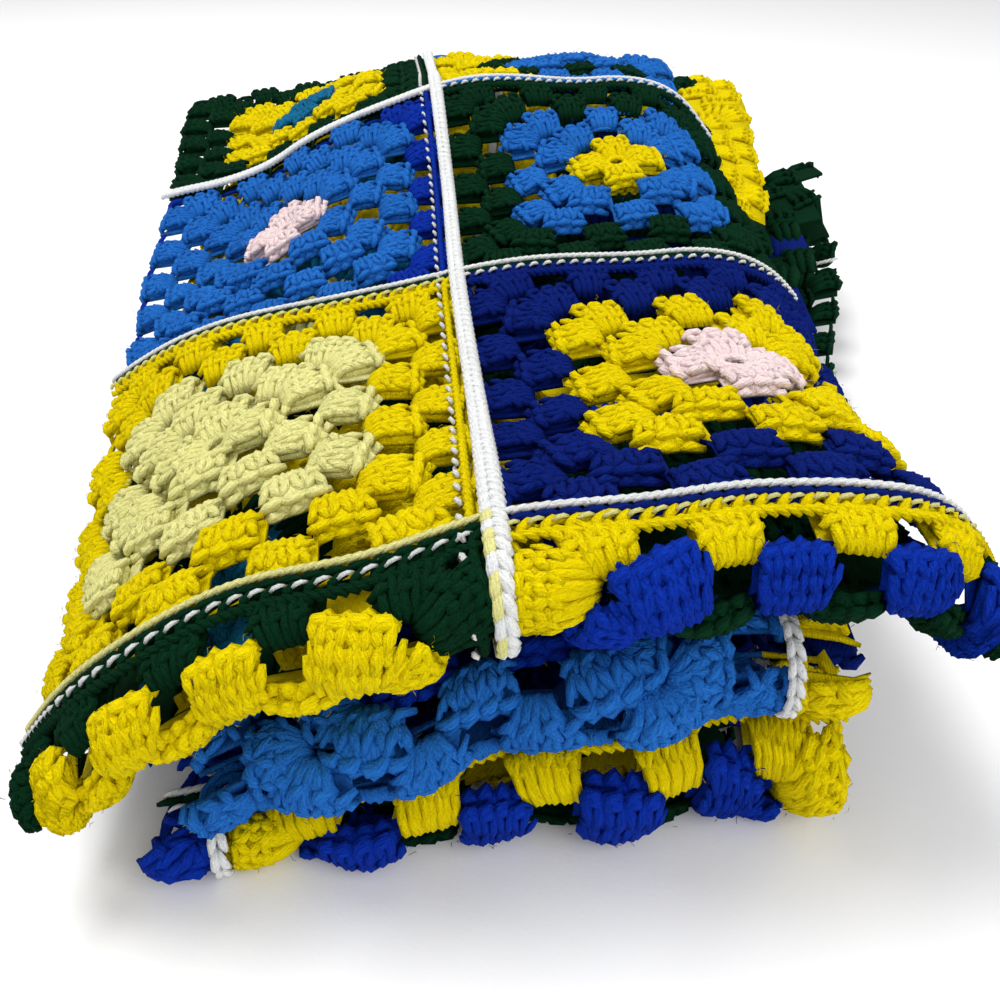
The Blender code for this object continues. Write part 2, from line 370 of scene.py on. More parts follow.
def linear(code):
    """A colour code as the linear values that a shader takes."""
    shares = [int(code[i : i + 2], 16) / 255 for i in (0, 2, 4)]
    return tuple(((s + 0.055) / 1.055) ** 2.4 if s > 0.04045 else s / 12.92 for s in shares)


def yarn_material(name, code, painted_shade_code):
    finish = Finish(name)
    yarn_map = finish.node("ShaderNodeUVMap", {"uv_map": "yarn"}, {})
    apart = finish.tree.nodes.new("ShaderNodeSeparateXYZ")
    finish.tree.links.new(yarn_map.socket, apart.inputs[0])
    around, along = Value(finish, apart.outputs[0]), Value(finish, apart.outputs[1])
    turn = around * PLIES + along * (PLIES * MAP_LENGTH / PLY_TURN)
    plies = (turn * (2 * math.pi)).sine() * 0.5 + 0.5
    drawn_out = finish.node("ShaderNodeMapping", {}, {"Vector": yarn_map, "Scale": (9.0, 2.0, 1.0)})
    fibres = finish.node("ShaderNodeTexNoise", {}, {"Vector": drawn_out, "Scale": 3.5, "Detail": 4.0})
    spot = finish.node("ShaderNodeTexCoord", {}, {}, output=3)
    fuzz = finish.node("ShaderNodeTexNoise", {}, {"Vector": spot, "Scale": 2200.0, "Detail": 2.0})
    patches = finish.node("ShaderNodeTexNoise", {}, {"Vector": spot, "Scale": 60.0, "Detail": 2.0})
    # Painted light and shade: this share moves the colour between the lit yarn and its shade colour. The
    # ply stripes paint shade into the grooves, the fuzz paints pale specks of light, and the fibre and
    # patch noise are the yarn's own uneven tone.
    light = plies * 0.14 + fibres * 1.00 + fuzz * 0.45 + patches * 0.30 - 0.42
    colour = finish.node(
        "ShaderNodeMix",
        {"data_type": "RGBA"},
        {0: light, 6: linear(painted_shade_code) + (1.0,), 7: linear(code) + (1.0,)},
        output=2,
    )
    height = plies * 0.22 + fibres * 0.75 + fuzz * 0.85
    bump = finish.node("ShaderNodeBump", {}, {"Height": height, "Strength": 1.0, "Distance": 0.0006})
    finish.fill(
        finish.shader,
        {
            "Base Color": colour,
            "Roughness": 0.9,
            "Specular IOR Level": 0.06,
            "Normal": bump,
        },
    )
    return finish.material


# Each yarn: its colour in light, then a painted shade colour, its colour in shadow, which the material
# mixes in.
YARNS = {
    "yellow": ("FFEE00", "C8A600"),
    "lemon": ("FFFBAE", "C6C270"),
    "light_blue": ("3088E8", "083884"),
    "royal_blue": ("0D3EC6", "021058"),
    "navy": ("0D298C", "030C42"),
    "green": ("063C21", "011008"),
    "pink": ("FFF4F3", "E8C0C2"),
    "teal": ("1F86B4", "063A5C"),
    "white": ("FFFFFF", "D6DAD8"),
}
yarns = {}
for name, (code, painted_shade_code) in YARNS.items():
    yarns[name] = yarn_material(name + " yarn", code, painted_shade_code)
print(len(yarns), "yarns")

# %% [markdown]
# ## One strand
# Everything here is made of short lengths of yarn. A strand is a circle extruded from point to
# point along a path and closed at both ends. It carries its own map, so that the plies run along
# it however the cloth is folded.

# %% Sweep a circle along a path
def smooth_path(points, steps):
    """Points on a smooth curve through a few given ones."""
    points = [Vector(point) for point in points]
    ends = [points[0] * 2 - points[1]] + points + [points[-1] * 2 - points[-2]]
    path = []
    for step in range(steps + 1):
        place = step / steps * (len(points) - 1)
        i = min(int(place), len(points) - 2)
        t = place - i
        a, b, c, d = ends[i : i + 4]
        curve = 2 * b + (c - a) * t
        curve += (2 * a - 5 * b + 4 * c - d) * t * t
        curve += (3 * b - a - 3 * c + d) * t * t * t
        path.append(0.5 * curve)
    return path


def add_strand(bm, path, radius, sides, tip=0.7):
    """Extrudes a circle of yarn along the path and closes both ends."""
    uv_layer = bm.loops.layers.uv["yarn"]
    ring = bmesh.ops.create_circle(bm, segments=sides, radius=radius)["verts"]
    edges = list(dict.fromkeys(edge for vert in ring for edge in vert.link_edges))
    first_edges = edges
    spots = {}
    side, along = Vector((0.0, 0.0, 1.0)), 0.0
    faces = []
    for i, point in enumerate(path):
        tangent = (path[min(i + 1, len(path) - 1)] - path[max(i - 1, 0)]).normalized()
        side = (side - tangent * side.dot(tangent)).normalized()
        other = tangent.cross(side)
        if i:
            grown = bmesh.ops.extrude_edge_only(bm, edges=edges)["geom"]
            new_edges = [item for item in grown if isinstance(item, bmesh.types.BMEdge)]
            faces += [item for item in grown if isinstance(item, bmesh.types.BMFace)]
            fresh = {vert for item in faces[-sides:] for vert in item.verts} - set(ring)
            following = []
            for vert in ring:
                others = [edge.other_vert(vert) for edge in vert.link_edges]
                following += [other_vert for other_vert in others if other_vert in fresh]
            ring = following
            edges = [edge for edge in new_edges if all(vert in fresh for vert in edge.verts)]
            along += (point - path[i - 1]).length
        size = radius * (tip if i in (0, len(path) - 1) else 1.0)
        for k, vert in enumerate(ring):
            angle = 2 * math.pi * k / sides
            vert.co = point + (side * math.cos(angle) + other * math.sin(angle)) * size
            spots[vert] = (k / sides, along / MAP_LENGTH)
    for face in faces:
        wraps = {spots[vert][0] for vert in face.verts} == {0.0, (sides - 1) / sides}
        for loop in face.loops:
            round_share, length = spots[loop.vert]
            loop[uv_layer].uv = (1.0 if wraps and round_share == 0.0 else round_share, length)
    for rim in (first_edges, edges):
        for face in bmesh.ops.contextual_create(bm, geom=rim)["faces"]:
            for loop in face.loops:
                loop[uv_layer].uv = spots[loop.vert]


def new_stitch():
    bm = bmesh.new()
    bm.loops.layers.uv.new("yarn")
    return bm


# %% [markdown]
# ## One stitch
# A tall stitch stands on two slanting legs. Its head is a V of two arms, with two rows of loops
# along the top edge. Over the bends of the folds the stitches are drawn out, so those are longer
# and show three rows of Vs. Real crochet is one endless yarn, but short strands that overlap look
# the same and can be copied. Stitches near the camera get every strand. Those deep in the stack
# only need the right bulk.

# %% Model the stitches
LEG = 0.00108  # radius of a leg's yarn
LONG_LEG = 0.00100
FOOT = -0.74 * CELL
HEAD = 0.30 * CELL
LONG_FOOT = -0.90 * CELL
FOOT_SPACING = 0.0034
HEAD_SPACING = 0.0046
LONG_HEAD_SPACING = 0.0032
SLANT = 0.0009  # how far the feet stand beside the heads
random = np.random.default_rng(7)


def shaken(points, amount):
    return [Vector(point) + Vector(random.uniform(-amount, amount, 3)) for point in points]


def add_legs(bm, low, high, foot, radius):
    for side in (-1, 1):
        leg = [
            (low + side * 0.8 * radius, foot, -0.0022),
            (low + side * 0.9 * radius, 0.80 * foot, 0.0000),
            ((low + high) / 2 + side * radius, 0.40 * foot, 0.0007),
            (high + side * radius, 0.0006, 0.0004),
        ]
        add_strand(bm, smooth_path(shaken(leg, 0.0002), 4), radius, 5, tip=0.9)


def add_arms(bm, high, start, reach, width, radius):
    """The two arms of a V, side by side at the bottom and apart at the top."""
    for side in (-1, 1):
        arm = [(high + side * 0.0002, start, 0.0011), (high + side * width, start + reach, 0.0009)]
        add_strand(bm, smooth_path(shaken(arm, 0.0003), 2), radius, 5, tip=0.55)


def add_loops(bm, high, width, radius):
    """The two rows of loops along the top edge."""
    left, right = high - width, high + width
    upper = [(left, 0.0020, 0.0002), (high - 0.0002, 0.0036, 0.0011), (right, 0.0026, -0.0002)]
    add_strand(bm, smooth_path(shaken(upper, 0.0003), 3), 1.1 * radius, 5)
    lower = [(left, 0.0040, -0.0018), (high, 0.0050, -0.0009), (right, 0.0040, -0.0020)]
    add_strand(bm, shaken(lower, 0.0003), 1.2 * radius, 4)


def add_fine_stitch(bm, place, spacing):
    """One tall stitch: two slanting legs, the V of its head, a wrap under it and loops on top."""
    low, high = place * spacing + SLANT, place * HEAD_SPACING
    add_legs(bm, low, high, FOOT, LEG)
    add_arms(bm, high, -0.0026, 0.0044, 0.0020, LEG)
    left, right = high - 0.0019, high + 0.0019
    wrap = [(left, -0.0050, 0.0006), (high + 0.0002, -0.0038, 0.0014), (right, -0.0028, 0.0006)]
    add_strand(bm, smooth_path(shaken(wrap, 0.0003), 2), LEG, 5)
    add_loops(bm, high, 0.0025, LEG)


def add_long_stitch(bm, place, spacing):
    """A stitch that is drawn out over the bend of a fold, with three rows of Vs."""
    low, high = place * spacing + 1.5 * SLANT, place * LONG_HEAD_SPACING
    add_legs(bm, low, high, LONG_FOOT, LONG_LEG)
    for start, beside in ((-0.0046, 0.0), (-0.0023, 0.0015), (0.0001, 0.0)):
        add_arms(bm, high + beside, start, 0.0036, 0.0016, LONG_LEG)
    add_loops(bm, high, 0.0019, 0.00105)


def add_middling_stitch(bm, place, spacing):
    foot, head = place * spacing, place * HEAD_SPACING
    post = [(foot, FOOT, -0.0006), ((foot + head) / 2, -0.0005, 0.0012), (head, HEAD, 0.0)]
    add_strand(bm, smooth_path(shaken(post, 0.0002), 3), 0.0020, 4)
    loop = [(head - 0.0026, 0.0030, 0.0), (head, 0.0052, 0.0016), (head + 0.0026, 0.0042, 0.0)]
    add_strand(bm, smooth_path(shaken(loop, 0.0003), 3), 0.0014, 4)
    wrap = [(head - 0.0022, -0.0015, 0.0010), (head + 0.0016, 0.0012, 0.0026)]
    add_strand(bm, [Vector(point) for point in wrap], 0.0012, 4)


def add_plain_stitch(bm, place, spacing):
    foot, head = place * spacing, place * HEAD_SPACING
    post = [Vector((foot, FOOT, 0.0)), Vector((head, 0.0, 0.0006)), Vector((head, 0.0052, 0.0))]
    add_strand(bm, post, 0.0024, 4)


# %% [markdown]
# ## Pad and fibres
# Real yarn is squashed together and leaves no gaps. Here a soft pad lies under the strands of
# each finely worked cluster, and a few loose fibres stand off it.

# %% Model the pad and the fibres
PAD_BOXINESS = 0.65  # 1 leaves the ball round, and less makes it square
PAD_MIDDLE = -0.0012  # depth of the pad's middle in the cloth
PAD_END = 0.0048  # how far the pad reaches along the stitches
FIBRE = 0.00007  # radius of a loose fibre


def add_pad(bm, spacing, foot):
    """The soft body under the strands of a cluster: a ball drawn out into a fan."""
    uv_layer = bm.loops.layers.uv["yarn"]
    ball = bmesh.ops.create_uvsphere(bm, u_segments=10, v_segments=6, radius=1.0)["verts"]
    start = 0.96 * foot
    for vert in ball:
        x, y = [math.copysign(abs(place) ** PAD_BOXINESS, place) for place in vert.co.xy]
        share = (y + 1) / 2
        half_width = (1 - share) * (spacing + 0.0018) + share * (HEAD_SPACING + 0.0022)
        top = 0.0015 - 0.0016 * (1 - share) ** 2
        depth = PAD_MIDDLE + vert.co.z * (top - PAD_MIDDLE)
        vert.co = (x * half_width + (1 - share) * SLANT, start + share * (PAD_END - start), depth)
    for face in {face for vert in ball for face in vert.link_faces}:
        for loop in face.loops:
            place = loop.vert.co
            loop[uv_layer].uv = (place.x / (2 * math.pi * LEG), place.y / MAP_LENGTH)


def add_fibres(bm, number):
    """Loose fibres that stand off the yarn and soften its edges."""
    for _ in range(number):
        x, y = random.uniform(-0.0070, 0.0070), random.uniform(0.9 * FOOT, 0.0060)
        start = Vector((x, y, random.uniform(0.0008, 0.0028)))
        turn = random.uniform(0.0, 2 * math.pi)
        reach = Vector((math.cos(turn), math.sin(turn), random.uniform(0.0, 0.9)))
        reach *= random.uniform(0.0007, 0.0016)
        bend = Vector(random.uniform(-0.0005, 0.0005, 3))
        add_strand(bm, [start, start + reach * 0.5 + bend, start + reach], FIBRE, 3, tip=0.6)


# %% [markdown]
# ## One cluster
# A cluster is three or four tall stitches worked into one space. The feet crowd into the space
# below and the heads spread out, which gives the puff its fan shape. A few versions of each kind
# are made, so that no two neighbours look alike.

# %% Put stitches together to clusters
TIGHT_SPACING = 0.0013  # between the feet of a cluster that is gripped tightly
LONG_SPACING = 0.0027
TIGHT_PLACES = (-1.4, -0.5, 0.5, 1.4)
LONG_PLACES = (-1.5, -0.5, 0.5, 1.5)
PUFF, TIGHT_PUFF, LONG_PUFF = 0.0011, 0.0024, 0.0030  # how far its middle stands out
PUFF_MIDDLE = -0.0012  # where along a cluster it stands out most
PUFF_REACH = (0.0088, 0.0096)  # how far from there the puff ends, across and along


def gathered(items, attribute, width, kind=float):
    values = np.empty(len(items) * width, kind)
    items.foreach_get(attribute, values)
    return values


def finished(bm):
    """The template's arrays: points, corners, the first corner of each face, and the map."""
    bmesh.ops.recalc_face_normals(bm, faces=bm.faces)
    mesh = bpy.data.meshes.new("template")
    bm.to_mesh(mesh)
    bm.free()
    mesh.calc_loop_triangles()
    template = {
        "points": gathered(mesh.vertices, "co", 3).reshape(-1, 3),
        "corners": gathered(mesh.loops, "vertex_index", 1, int),
        "starts": gathered(mesh.polygons, "loop_start", 1, int),
        "map": gathered(mesh.uv_layers["yarn"].data, "uv", 2).reshape(-1, 2),
        "triangles": len(mesh.loop_triangles),
    }
    bpy.data.meshes.remove(mesh)
    return template


def cluster_template(add_stitch, spacing=FOOT_SPACING, places=(-1, 0, 1), foot=None, puff=PUFF):
    """A whole cluster. One whose foot is given also gets a pad and loose fibres."""
    bm = new_stitch()
    if foot:
        add_pad(bm, places[-1] * spacing, foot)
        add_fibres(bm, 10)
    for place in places:
        add_stitch(bm, place, spacing)
    for vert in bm.verts:
        across, along = vert.co.x / PUFF_REACH[0], (vert.co.y - PUFF_MIDDLE) / PUFF_REACH[1]
        vert.co.z += puff * max(0.0, (1 - across * across) * (1 - along * along))
    return finished(bm)


TIGHT = (add_fine_stitch, TIGHT_SPACING, TIGHT_PLACES, FOOT, TIGHT_PUFF)
LONG = (add_long_stitch, LONG_SPACING, LONG_PLACES, LONG_FOOT, LONG_PUFF)
clusters = {
    "fine": [cluster_template(add_fine_stitch, foot=FOOT) for _ in range(6)],
    "long": [cluster_template(*LONG) for _ in range(5)],
    "fan": [cluster_template(*TIGHT) for _ in range(4)],
    "middling": [cluster_template(add_middling_stitch) for _ in range(3)],
    "plain": [cluster_template(add_plain_stitch)],
}
for name, made in clusters.items():
    print(name, "cluster", made[0]["triangles"], "triangles")

# %% [markdown]
# ## Chains and loops between clusters
# Between two clusters of a round runs a short chain, which the next round's cluster grips. At a
# corner the chain is longer and turns. At the centre the first round grips a small ring.

# %% Model the chains
CHAIN = 0.00085  # radius of a chain's yarn
CORNER_CHAIN = 0.0012
RING = 0.0036  # radius of the ring at a square's centre
RING_STEPS = 9


def chain_template(strands):
    bm = new_stitch()
    low = [(-0.0050, 0.0036, -0.0012), (0.0, 0.0040, -0.0006), (0.0050, 0.0036, -0.0014)]
    high = [(-0.0050, 0.0050, -0.0018), (0.0, 0.0054, -0.0012), (0.0050, 0.0050, -0.0020)]
    for points in (low, high)[:strands]:
        add_strand(bm, smooth_path(points, 3), CHAIN, 4)
    return finished(bm)


def corner_template(strands):
    """The chain round an outer corner, about the corner cell's middle, towards +x and +y."""
    bm = new_stitch()
    for lift, out in ((0.0009, 0.0), (-0.0005, 0.0012))[:strands]:
        near, far = 0.0024 + out, 0.0036 + out
        start = [(-0.0040, near, lift), (0.0010, far, lift)]
        end = [(far, 0.0010, lift), (near, -0.0040, lift)]
        add_strand(bm, smooth_path(start + end, 5), CORNER_CHAIN, 4)
    return finished(bm)


def ring_template():
    bm = new_stitch()
    turns = [2 * math.pi * step / RING_STEPS for step in range(RING_STEPS + 1)]
    path = [Vector((RING * math.cos(turn), RING * math.sin(turn), 0.0)) for turn in turns]
    add_strand(bm, path, 0.0013, 5, tip=1.0)
    return finished(bm)


chains = {"fine": chain_template(2), "middling": chain_template(1)}
double_corner = corner_template(2)
corner_chains = {kind: double_corner for kind in ("fine", "long", "fan")}
corner_chains["middling"] = corner_template(1)
centre_ring = ring_template()
print("chain", chains["fine"]["triangles"], "triangles, ring", centre_ring["triangles"])

# %% Model the grains of ropes and sewing
def grain_template(length, slant, radius, rise, sides=5):
    """A short slanting length of yarn: repeated, it makes a rope or a row of sewing."""
    bm = new_stitch()
    ends = [(-length / 2, -slant / 2, -rise), (0.0, 0.0, rise), (length / 2, slant / 2, -rise)]
    add_strand(bm, smooth_path(ends, 3), radius, sides, tip=0.6)
    return finished(bm)


rope_grain = grain_template(0.0050, 0.0008, 0.00125, 0.0005)
seam_grain = grain_template(0.0036, 0.0009, 0.00068, 0.0003)
thick_grain = grain_template(0.0042, 0.0014, 0.00110, 0.0005)
edge_grain = grain_template(0.0048, 0.0012, 0.00105, 0.0006, 4)
fleck = grain_template(0.0034, 0.0008, 0.00070, 0.0004, 4)

# %% [markdown]
# ## The colours of the squares
# Each square is listed by its row and column in the strip with the yarn of its rounds, from the
# centre outwards. Squares that can't be seen share a few sets of yarns. In three squares the yarn
# changes part of the way round.

# %% Colour chart
CHART = {
    (0, 0): "teal yellow yellow green green",
    (0, 1): "light_blue light_blue green light_blue light_blue",
    (1, 0): "pink light_blue light_blue light_blue royal_blue",
    (1, 1): "yellow light_blue light_blue green green",
    (2, 0): "lemon lemon lemon yellow yellow",
    (2, 1): "pink yellow yellow navy navy",
    (3, 0): "teal green yellow yellow green",
    (3, 1): "green green green royal_blue yellow",
    (4, 0): "lemon teal teal yellow yellow",
    (4, 1): "green navy green navy green",
    (5, 0): "teal green yellow yellow yellow",
    (5, 1): "navy green green yellow yellow",
    (6, 1): "navy green green yellow yellow",
    (7, 1): "navy green green green green",
    (8, 1): "navy green green green green",
    (9, 0): "navy royal_blue light_blue light_blue light_blue",
    (9, 1): "pink green navy yellow yellow",
    (10, 0): "pink yellow yellow navy navy",
    (10, 1): "navy green green navy navy",
    (11, 1): "navy green green navy green",
    (12, 1): "navy green green green green",
    (13, 1): "yellow navy navy green green",
    (14, 0): "light_blue yellow yellow royal_blue royal_blue",
    (14, 1): "pink yellow yellow navy navy",
    (15, 0): "yellow light_blue light_blue navy royal_blue",
    (15, 1): "light_blue yellow green royal_blue yellow",
    (16, 1): "navy green green navy green",
    (17, 1): "yellow navy navy green green",
}
HIDDEN = (
    "light_blue royal_blue royal_blue teal royal_blue",
    "green navy royal_blue teal navy",
    "pink yellow yellow navy navy",
)


def rounds_of(row, column):
    return CHART.get((row, column), HIDDEN[(row + 2 * column) % len(HIDDEN)]).split()


def yarn_at(row, column, number, across, along):
    """The yarn of a round at a place, where it may change part of the way round."""
    share = across / SQUARE
    if (row, column) == (1, 0) and number == ROUNDS and share < -0.22:
        return "light_blue"
    if (row, column) == (0, 1) and number > 3 and share < 0.35:
        return "yellow"
    if (row, column) == (3, 1) and number == ROUNDS and share > 0.84:
        return "green" if along < 3.22 * SQUARE else "royal_blue"
    return rounds_of(row, column)[number - 1]


# %% [markdown]
# ## Where the cloth differs
# Crochet stretches with its own weight. At the front of the top layer it is drawn wide, and in
# the third fold it has slipped to the left, so places across the pattern are moved before the
# fold. Each second layer lies face down, so there the cloth's back is seen and its stitches are
# turned over. Only the stitches that the camera gets near are modelled finely.

# %% Stretch, back and detail, by place in the flat cloth
PULL = 0.19  # how far the cloth is drawn wide at most, as a share of a square
PULL_ALONG = ((1.2, 0), (2.2, 0.4), (2.9, 1), (3.9, 1), (4.6, 0))
PULL_ALONG += ((14.2, 0), (14.8, 0.5), (15.4, 0.5), (16, 0))
PULL_ACROSS = ((0, 0), (0.60, 0.60), (0.75, 0.66), (1, 0))
SLIP_ALONG = ((14.2, 0), (14.8, -0.012), (15.4, -0.012), (16, 0))
NEAR_BACK = 0.20 * SQUARE  # this near a back fold, the cloth's back is seen
NEAR_FRONT = 0.22 * SQUARE
FIRST_BEND, SECOND_BEND, THIRD_BEND = (3.08, 3.40), (9.55, 10.10), (14.85, 15.40)  # in rows
DRAWN_OUT = 15.02  # from this row on, the right half of the third bend is drawn out


def on_curve(value, curve):
    """The height at a value of a curve given by its corners."""
    return np.interp(value, *zip(*curve))


def stretched(across, along):
    """Where a place across the pattern comes to lie in the flat cloth."""
    row, share = np.asarray(along) / SQUARE, np.abs(across) / SQUARE
    pull = PULL * on_curve(row, PULL_ALONG)
    place = np.sign(across) * (share + pull * on_curve(share, PULL_ACROSS)) * SQUARE
    return place + on_curve(row, SLIP_ALONG) * (1 - share * share)


def back_shows(along):
    layer = int(np.searchsorted(crests, along))
    to_front = min(abs(along - crest) for crest in crests[1::2])
    to_back = min(abs(along - crest) for crest in crests[::2][1:])
    return layer % 2 == 0 and to_front > NEAR_FRONT or to_back < NEAR_BACK


def is_within(value, ends):
    return ends[0] < value < ends[1]


def detail_at(across, along):
    """How finely the stitches are worked here."""
    row = along / SQUARE
    if is_within(row, SECOND_BEND) and across < 0:
        return "fan"
    if is_within(row, FIRST_BEND) or DRAWN_OUT < row < THIRD_BEND[1] and across > 0:
        return "long"
    if row < FIRST_BEND[1] or is_within(row, SECOND_BEND) or is_within(row, THIRD_BEND):
        return "fine"
    near_crest = min(abs(along - crest) for crest in crests) < NEAR_BACK
    if abs(across) > 0.65 * SQUARE or near_crest or row < 4:
        return "middling"
    return "plain"


flat_width = np.linspace(-SQUARE, SQUARE, 105)
for row in (3, 15):
    moved = abs(stretched(flat_width, row * SQUARE) - flat_width).max()
    print("at row", row, "places move by up to", round(moved * 1000, 1), "mm")

# %% [markdown]
# ## Laying out the stitches
# Every stitch is a template, a place in the flat cloth and a turn. They are gathered by yarn,
# copied as arrays, folded and joined into one mesh for each yarn. Hands are never exact, so each
# cluster leans, sits and swells a little differently.

# %% Gather the stitches of each yarn
LEAN = 0.13  # most that a cluster leans, in radians
CORNER_LEAN = 0.18  # how far the clusters at a corner turn towards it
SCATTER = 0.0006  # most that a cluster sits off its place
SIZES = (0.96, 1.08)
CORNER_GROWTH = 0.05
LONG_SIZE, LONG_OUTER_SIZE = 1.06, 0.94
BACK_DEPTH = 0.0010  # how much deeper the stitches lie on the back
laid = {name: [] for name in yarns}


def lay(yarn, template, across, along, turn, lift=0.0, size=1.0):
    """Notes one copy of a template at a place of the flat cloth, turned about its normal."""
    if is_kept(stretched(across, along), along):
        face = -1 if back_shows(along) else 1
        lift = face * lift - BACK_DEPTH * (face < 0)
        laid[yarn].append((template, across, along, turn, lift, size, face))


def spot(row, column, x, y, turn):
    """The place in the flat cloth of a point given from a square's middle on one of its sides."""
    across = (column - 0.5) * SQUARE + x * math.cos(turn) - y * math.sin(turn)
    along = (row + 0.5) * SQUARE - (x * math.sin(turn) + y * math.cos(turn))
    return across, along


def lay_cluster(row, column, number, k, turn):
    """Lays one cluster, the k-th on a side of the round."""
    lean = random.uniform(-LEAN, LEAN) + CORNER_LEAN * ((k == 0) - (k == number - 1))
    x = (2 * k - (number - 1)) * CELL + FOOT * math.sin(lean) + random.uniform(-SCATTER, SCATTER)
    y = number * CELL + random.uniform(-SCATTER, SCATTER)
    across, along = spot(row, column, x, y, turn)
    detail = detail_at(across, along)
    template = clusters[detail][random.integers(len(clusters[detail]))]
    size = random.uniform(*SIZES) + CORNER_GROWTH * (k in (0, number - 1))
    if detail == "long":
        size *= LONG_OUTER_SIZE if number == ROUNDS else LONG_SIZE
    yarn = yarn_at(row, column, number, across, along)
    lay(yarn, template, across, along, turn + lean, random.uniform(-0.0003, 0.0006), size)


def lay_square(row, column):
    rounds = rounds_of(row, column)
    for number, yarn in enumerate(rounds, start=1):
        for side in range(4):
            turn = side * math.pi / 2
            for k in range(number):
                lay_cluster(row, column, number, k, turn)
            for k in range(1, number):
                place = spot(row, column, (2 * k - number) * CELL, number * CELL, turn)
                if detail_at(*place) in chains:
                    lay(yarn, chains[detail_at(*place)], *place, turn)
            corner = spot(row, column, number * CELL, number * CELL, turn)
            if number == ROUNDS and detail_at(*corner) in corner_chains:
                lay(yarn, corner_chains[detail_at(*corner)], *corner, turn)
    lay(rounds[0], centre_ring, (column - 0.5) * SQUARE, (row + 0.5) * SQUARE, 0.0)


for row in range(ROWS):
    for column in (0, 1):
        lay_square(row, column)
print(sum(len(copies) for copies in laid.values()), "stitches laid")

# %% [markdown]
# ## Joins
# A white rope of slip stitches joins the two columns. Beside it the edge loops of the left
# squares show, with flecks of sewing thread. The rows are sewn together with a thinner line,
# under which the edge loops of both squares lie in scallops.

# %% Lay the rope
ROPE_PITCH = 0.0029
ROPE_HALF = 0.00105  # from the join to the middle of each row of grains
ROPE_SLANT = 0.36
ROPE_LIFT = 0.0036
quarter = math.pi / 2


def lay_rope():
    """A row of chain stitches over the join: two rows of grains that slant towards each other."""
    for step in range(round(FLAT_LENGTH / ROPE_PITCH)):
        along = (step + 0.5) * ROPE_PITCH
        row = int(along / SQUARE)
        size = 0.75 if row > 3 else 1.0
        for side in (-1, 1):
            yarn = "lemon" if row == 3 and side == -1 and step % 3 else "white"
            turn = quarter + side * ROPE_SLANT
            lay(yarn, rope_grain, side * ROPE_HALF * size, along, turn, ROPE_LIFT, size)
        if row < 4:
            lay(rounds_of(row, 0)[-1], edge_grain, -0.0043, along, quarter, 0.0024)
            if step % 2:
                lay("white", fleck, -0.0062, along, quarter + 0.1, 0.0032, 0.9)


lay_rope()

# %% Lay the sewing between the rows
SEAM_PITCH = 0.0022
SEAM_THREADS = {(3, 0): "lemon", (10, 0): "navy"}
THICK_SEAM = (1, 0)


def seam_shows(row, column, detail):
    hidden = column == 0 and 4 < row < 14 and detail == "middling"
    return not hidden and detail != "plain" and not back_shows(row * SQUARE)


def lay_edges(row, column, across, step):
    """The edge loops of the squares above and below, and the thread's flecks between them."""
    middle = row * SQUARE
    above, below = rounds_of(row - 1, column)[-1], rounds_of(row, column)[-1]
    lay(below, edge_grain, across, middle + 0.0058, -0.75, 0.0022)
    if step % 2:
        scallop = "green" if row == 2 or column == 0 else above
        lay(scallop, seam_grain, across, middle + 0.0008, -0.25, 0.0026, 1.5)
        lay(below, edge_grain, across, middle + 0.0034, 0.6, 0.0024, 1.1)
    else:
        spotted = "lemon" if below == "yellow" else "white"
        lay(spotted, fleck, across, middle + 0.0032, 0.1, 0.0036, 0.9)


def lay_seam(row):
    """The sewing between this row of squares and the one before it."""
    middle = row * SQUARE
    for step in range(round(2 * SQUARE / SEAM_PITCH)):
        across = -SQUARE + (step + 0.5) * SEAM_PITCH
        column = int(across > 0)
        detail = detail_at(across, middle)
        if abs(across) < 0.003 or not seam_shows(row, column, detail):
            continue
        if (row, column) == THICK_SEAM:
            lay("white", thick_grain, across, middle - 0.0024, 0.0, 0.0030)
            lay("white", thick_grain, across, middle - 0.0002, 0.0, 0.0032)
            continue
        thread = SEAM_THREADS.get((row, column), "white")
        lay(thread, seam_grain, across, middle - 0.0010, 0.0, 0.0034, 1.15)
        if detail != "middling":
            lay_edges(row, column, across, step)


for row in range(1, ROWS):
    lay_seam(row)

# %% [markdown]
# ## Copy, fold and join
# The copies of one template are made together: its points are repeated, turned over where the
# back shows, turned and moved as arrays, and then folded in one call.

# %% Make the yarn pieces
def copied(copies):
    """All copies of the templates in this list, joined and still flat, as arrays."""
    points, corners, starts, places = [], [], [], []
    vertex_count, corner_count = 0, 0
    kinds = {id(copy[0]): copy[0] for copy in copies}
    for kind, template in kinds.items():
        facts = np.array([copy[1:] for copy in copies if id(copy[0]) == kind], float)
        across, along, turn, lift, size, face = facts.T
        here = template["points"][None] * size[:, None, None]
        here = here * np.stack([face, np.ones(len(face)), face], axis=-1)[:, None, :]
        x = across[:, None] + here[..., 0] * np.cos(turn)[:, None] - here[..., 1] * np.sin(turn)[:, None]
        y = -along[:, None] + here[..., 0] * np.sin(turn)[:, None] + here[..., 1] * np.cos(turn)[:, None]
        z = lift[:, None] + here[..., 2]
        points.append(np.stack([stretched(x, -y), y, z], axis=-1).reshape(-1, 3))
        number, verts = len(facts), len(template["points"])
        loops = len(template["corners"])
        offsets = np.arange(number)[:, None]
        corners.append((template["corners"][None] + offsets * verts).reshape(-1) + vertex_count)
        starts.append((template["starts"][None] + offsets * loops).reshape(-1) + corner_count)
        shift = random.uniform(0.0, 9.0, (number, 1, 1)) * np.array([0.0, 1.0])
        places.append((template["map"][None] + shift).reshape(-1, 2))
        vertex_count += number * verts
        corner_count += number * loops
    return [np.concatenate(found) for found in (points, corners, starts, places)]


